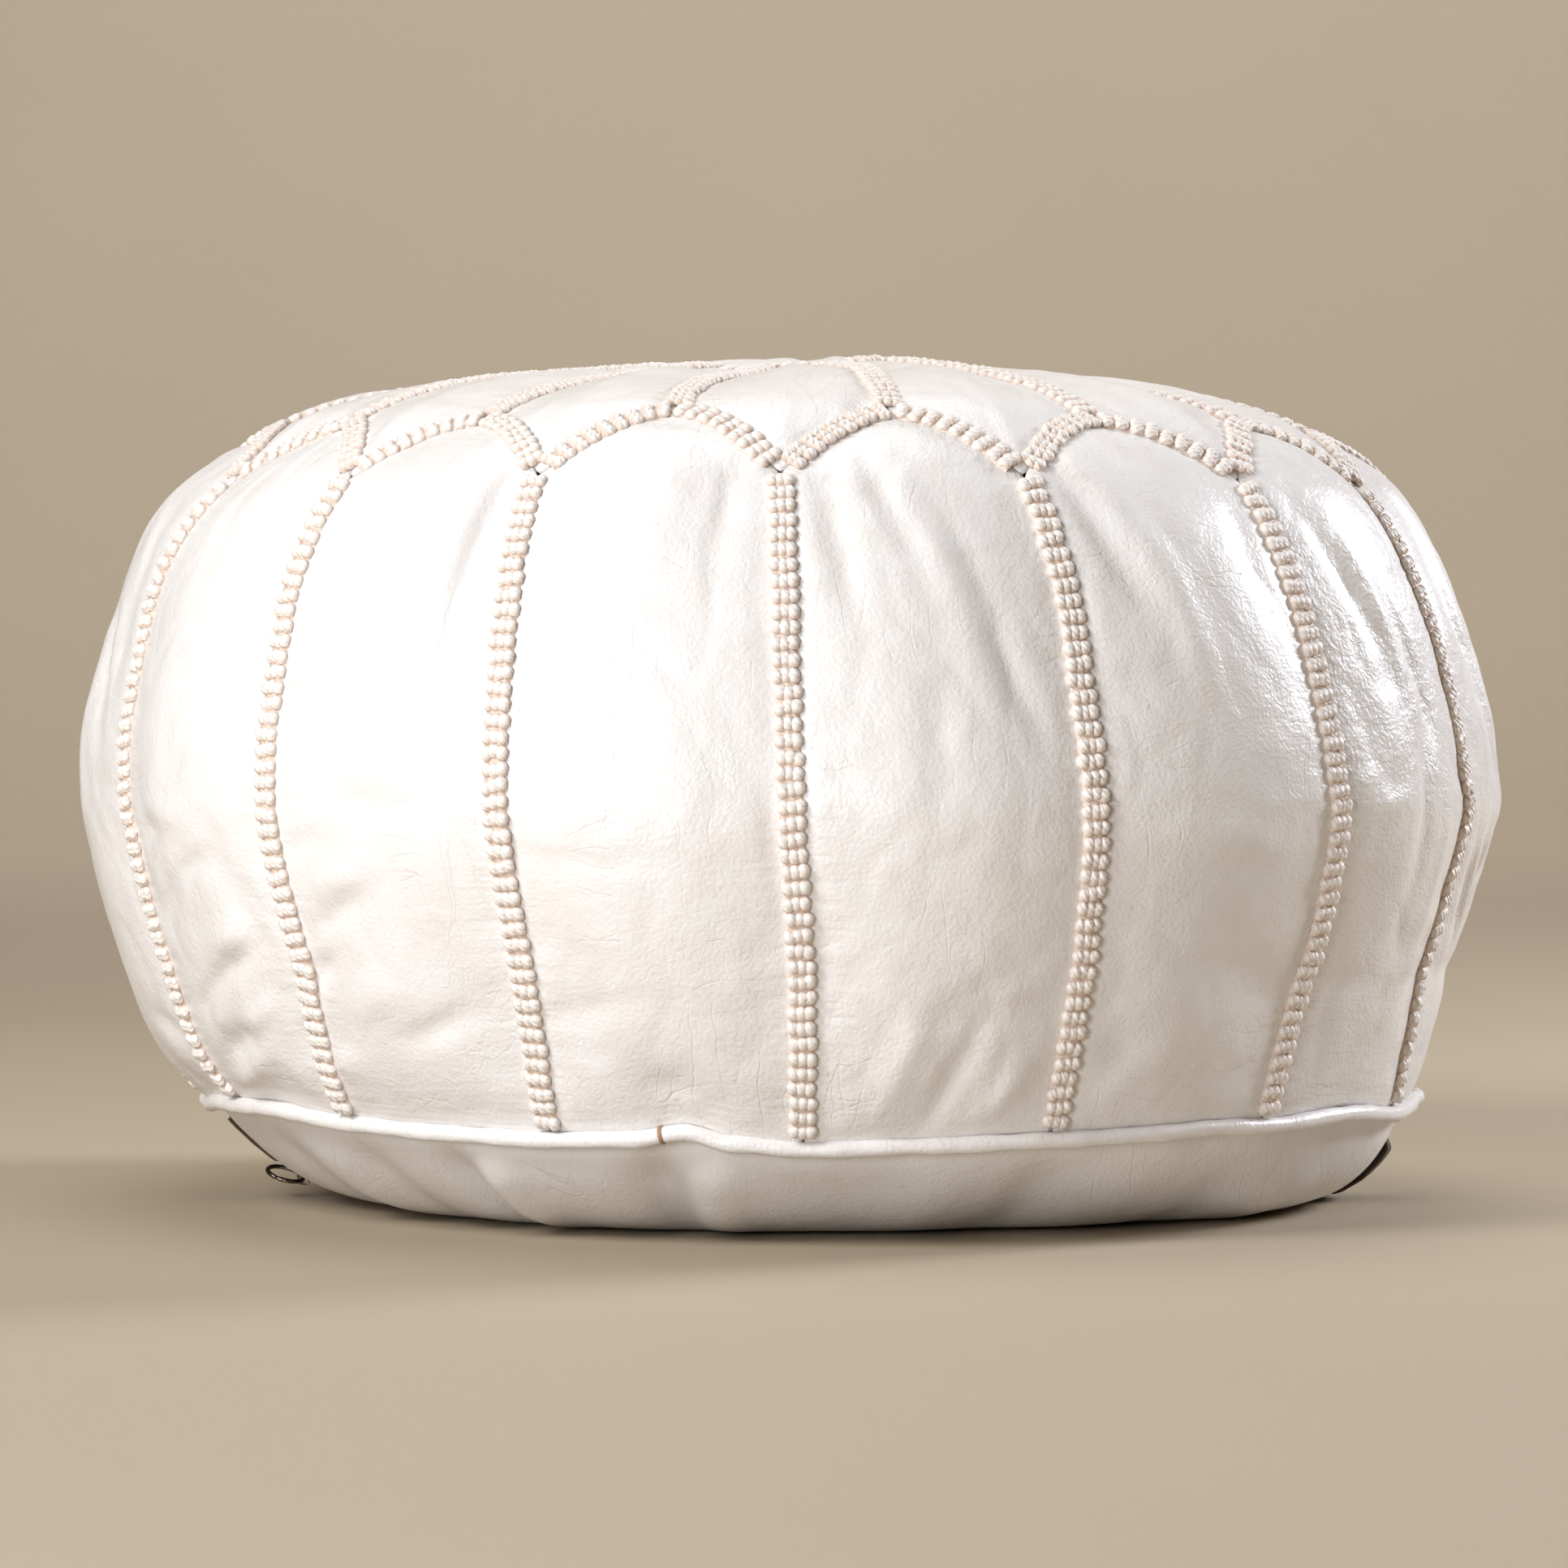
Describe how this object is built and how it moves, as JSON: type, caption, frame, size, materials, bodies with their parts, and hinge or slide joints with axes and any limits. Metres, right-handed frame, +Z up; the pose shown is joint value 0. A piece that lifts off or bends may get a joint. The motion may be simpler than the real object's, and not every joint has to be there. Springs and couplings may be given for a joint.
{
  "type": "moroccan leather pouf",
  "caption": "Round stuffed leather floor pouf with arched side panels, crown petals, braided seams, a piped base and a zip underneath with a ring pull.",
  "frame": {"origin": "on the floor under the middle of the crown", "axes": "+Z up, X along the zip with the slider at its -X end, a side seam faces -Y"},
  "size_m": [0.5538, 0.5538, 0.3284],
  "materials": {
    "white_leather": "satin",
    "braid_thread": "satin",
    "brown_tape": "matte",
    "dark_metal": "polished",
    "cotton": "matte",
    "filling": "matte"
  },
  "bodies": {
    "cover": {"side_panel_01": "white_leather", "side_panel_02": "white_leather", "side_panel_03": "white_leather", "side_panel_04": "white_leather", "side_panel_05": "white_leather", "side_panel_06": "white_leather", "side_panel_07": "white_leather", "side_panel_08": "white_leather", "side_panel_09": "white_leather", "side_panel_10": "white_leather", "side_panel_11": "white_leather", "side_panel_12": "white_leather", "side_panel_13": "white_leather", "side_panel_14": "white_leather", "side_panel_15": "white_leather", "side_panel_16": "white_leather", "crown_petal_01": "white_leather", "crown_petal_02": "white_leather", "crown_petal_03": "white_leather", "crown_petal_04": "white_leather", "crown_petal_05": "white_leather", "crown_petal_06": "white_leather", "crown_petal_07": "white_leather", "crown_petal_08": "white_leather", "crown_petal_09": "white_leather", "crown_petal_10": "white_leather", "crown_petal_11": "white_leather", "crown_petal_12": "white_leather", "crown_petal_13": "white_leather", "crown_petal_14": "white_leather", "crown_petal_15": "white_leather", "crown_petal_16": "white_leather", "crown_medallion": "white_leather", "side_seam_braid": "braid_thread", "crown_braid": "braid_thread", "piping_cover": "white_leather", "piping_cord": "cotton", "base_half_front": "white_leather", "base_half_back": "white_leather", "zip_tape_front": "brown_tape", "zip_tape_back": "brown_tape", "zip_coil_front": "brown_tape", "zip_coil_back": "brown_tape", "zip_stop_left": "dark_metal", "zip_stop_right": "dark_metal", "inner_bag": "cotton", "stuffing": "filling"},
    "slider": {"slider_body": "dark_metal", "slider_bail": "dark_metal"},
    "ring": {"pull_ring": "dark_metal"}
  },
  "joints": [
    {"name": "zip_slide", "type": "slide", "parent": "cover", "child": "slider", "axis": [1, 0, 0], "range_m": [0, 0.3804]},
    {"name": "ring_hinge", "type": "hinge", "parent": "slider", "child": "ring", "pos_m": [-0.19382, 0, 0.0064], "axis": [0, 1, 0], "range_deg": [-190, 0]}
  ]
}
